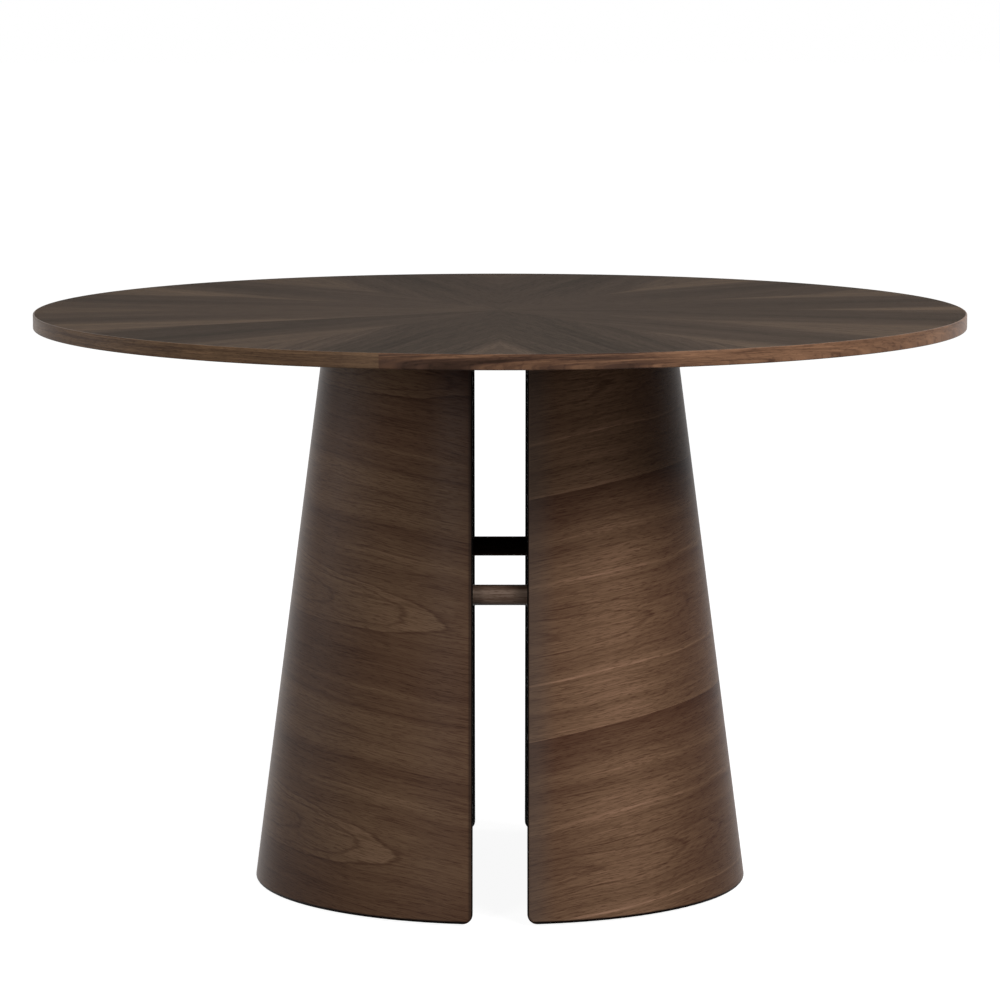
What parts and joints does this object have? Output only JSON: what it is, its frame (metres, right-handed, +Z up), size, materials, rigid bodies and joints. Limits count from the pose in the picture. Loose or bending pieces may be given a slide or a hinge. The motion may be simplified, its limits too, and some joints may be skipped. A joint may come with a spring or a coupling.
{
  "type": "round pedestal dining table",
  "caption": "Round dining table with a sunburst veneered disc top on a cone base split front to back into half shells tied by round crossbars.",
  "frame": {"origin": "on the floor, under the centre of the round top", "axes": "+Z up; +Y from the front of the slit to its back; +X to the right of someone facing the front"},
  "size_m": [1.2, 1.1998, 0.743],
  "materials": {
    "walnut_top": "satin lacquered walnut veneer, sunburst of matched leaves",
    "walnut_edge": "satin lacquered walnut edge band, grain along the band",
    "walnut_shell": "satin lacquered walnut veneer, grain round the cone",
    "walnut_lipping": "satin lacquered solid walnut",
    "walnut_bar": "satin lacquered solid walnut dowel",
    "black_lining": "matt black stained backing veneer",
    "black_blocks": "matt black stained hardwood",
    "shell_plywood": "bent plywood, edges stained dark",
    "former_plywood": "birch plywood, stained black",
    "top_board": "bare fibreboard",
    "backing_veneer": "plain sealed walnut balancing veneer",
    "steel_fixings": "bright zinc plated",
    "brass_inserts": "plain turned brass",
    "nylon_glides": "moulded natural nylon"
  },
  "bodies": {
    "root": {"back_crossbar": "walnut_bar", "backing_veneer": "backing_veneer", "crossbar_screws": "steel_fixings", "edge_band_left": "walnut_edge", "edge_band_right": "walnut_edge", "face_leaf_01": "walnut_top", "face_leaf_02": "walnut_top", "face_leaf_03": "walnut_top", "face_leaf_04": "walnut_top", "face_leaf_05": "walnut_top", "face_leaf_06": "walnut_top", "face_leaf_07": "walnut_top", "face_leaf_08": "walnut_top", "face_leaf_09": "walnut_top", "face_leaf_10": "walnut_top", "face_leaf_11": "walnut_top", "face_leaf_12": "walnut_top", "face_leaf_13": "walnut_top", "face_leaf_14": "walnut_top", "face_leaf_15": "walnut_top", "face_leaf_16": "walnut_top", "face_leaf_17": "walnut_top", "face_leaf_18": "walnut_top", "face_leaf_19": "walnut_top", "face_leaf_20": "walnut_top", "face_leaf_21": "walnut_top", "face_leaf_22": "walnut_top", "face_leaf_23": "walnut_top", "face_leaf_24": "walnut_top", "floor_glides": "nylon_glides", "front_crossbar": "walnut_bar", "left_back_block": "black_blocks", "left_back_lipping": "walnut_lipping", "left_foot_ring": "former_plywood", "left_front_block": "black_blocks", "left_front_lipping": "walnut_lipping", "left_shell_core": "shell_plywood", "left_shell_lining": "black_lining", "left_shell_veneer": "walnut_shell", "left_top_plate": "former_plywood", "right_back_block": "black_blocks", "right_back_lipping": "walnut_lipping", "right_foot_ring": "former_plywood", "right_front_block": "black_blocks", "right_front_lipping": "walnut_lipping", "right_shell_core": "shell_plywood", "right_shell_lining": "black_lining", "right_shell_veneer": "walnut_shell", "right_top_plate": "former_plywood", "threaded_inserts": "brass_inserts", "top_bolts": "steel_fixings", "top_core": "top_board", "top_washers": "steel_fixings"}
  },
  "joints": []
}
